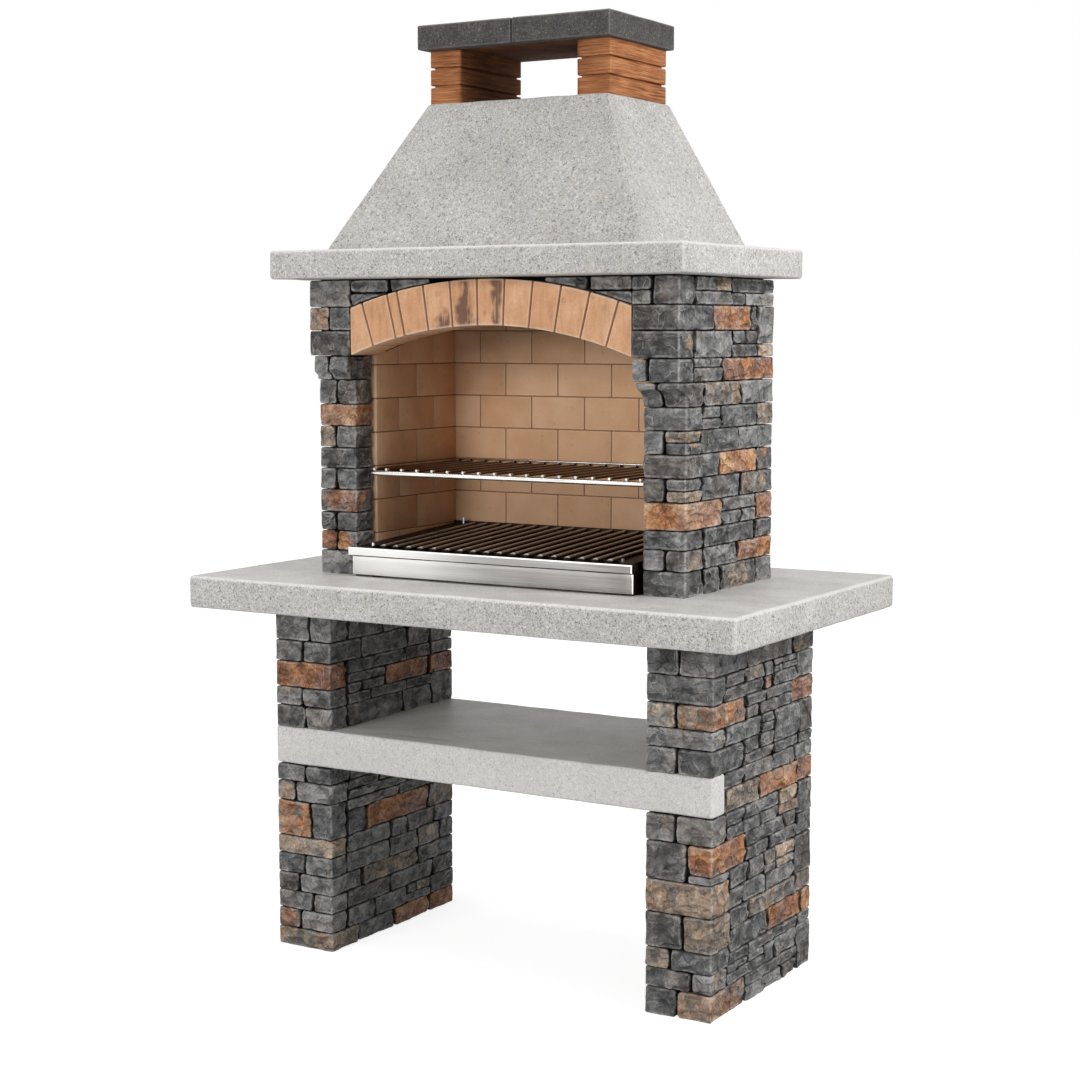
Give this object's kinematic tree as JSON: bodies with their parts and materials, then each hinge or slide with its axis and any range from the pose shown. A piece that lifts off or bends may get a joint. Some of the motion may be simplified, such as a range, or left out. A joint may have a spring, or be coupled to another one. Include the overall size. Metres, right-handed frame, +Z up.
{
  "type": "masonry barbecue",
  "caption": "Free-standing masonry barbecue: stone-faced legs, shelf and worktop, arched firebrick firebox, smoke hood and cap.",
  "frame": {"origin": "on the floor under the middle of the worktop", "axes": "+Z up, the firebox opens towards -Y, and +X is the right-hand side seen from the front"},
  "size_m": [1.41, 0.856, 2.1602],
  "materials": {
    "slate_stone": "rough",
    "mortar": "rough",
    "cast_concrete": "matt",
    "firebrick": "matt",
    "terracotta": "matt",
    "brown_block": "matt",
    "charcoal_concrete": "matt",
    "stainless_sheet": "brushed",
    "bright_rod": "polished",
    "dark_bar": "satin"
  },
  "bodies": {
    "masonry": {"left_leg_core": "mortar", "right_leg_core": "mortar", "left_leg_stones": "slate_stone", "right_leg_stones": "slate_stone", "shelf_slab": "cast_concrete", "worktop_slab": "cast_concrete", "left_wall_core": "mortar", "right_wall_core": "mortar", "left_wall_stones": "slate_stone", "right_wall_stones": "slate_stone", "left_corbel_stones": "slate_stone", "right_corbel_stones": "slate_stone", "back_panel": "cast_concrete", "left_lining": "firebrick", "right_lining": "firebrick", "back_lining": "firebrick", "arch_lintel": "mortar", "arch_voussoirs": "terracotta", "spandrel_stones": "slate_stone", "mantel_slab": "cast_concrete", "hood": "cast_concrete", "left_chimney_block": "brown_block", "right_chimney_block": "brown_block", "cap_soffit": "brown_block", "left_cap": "charcoal_concrete", "right_cap": "charcoal_concrete", "grate_frame": "stainless_sheet", "fat_trough": "stainless_sheet", "grill_ledges": "dark_bar"},
    "ash_pan": {"ash_pan": "stainless_sheet", "ash_pan_front": "stainless_sheet", "ash_pan_skids": "dark_bar"},
    "fire_grate": {"fire_grate_rails": "dark_bar", "fire_grate_bars": "dark_bar", "fire_grate_pegs": "stainless_sheet"},
    "cooking_grill": {"grill_rails": "bright_rod", "grill_rods": "bright_rod"}
  },
  "joints": [
    {"name": "ash_pan_slide", "type": "slide", "parent": "masonry", "child": "ash_pan", "axis": [0, -1, 0], "range_m": [0, 0.33]},
    {"name": "fire_grate_lift", "type": "slide", "parent": "masonry", "child": "fire_grate", "axis": [0, 0, 1], "range_m": [0, 0.1]},
    {"name": "cooking_grill_slide", "type": "slide", "parent": "masonry", "child": "cooking_grill", "axis": [0, -1, 0], "range_m": [0, 0.26]}
  ]
}
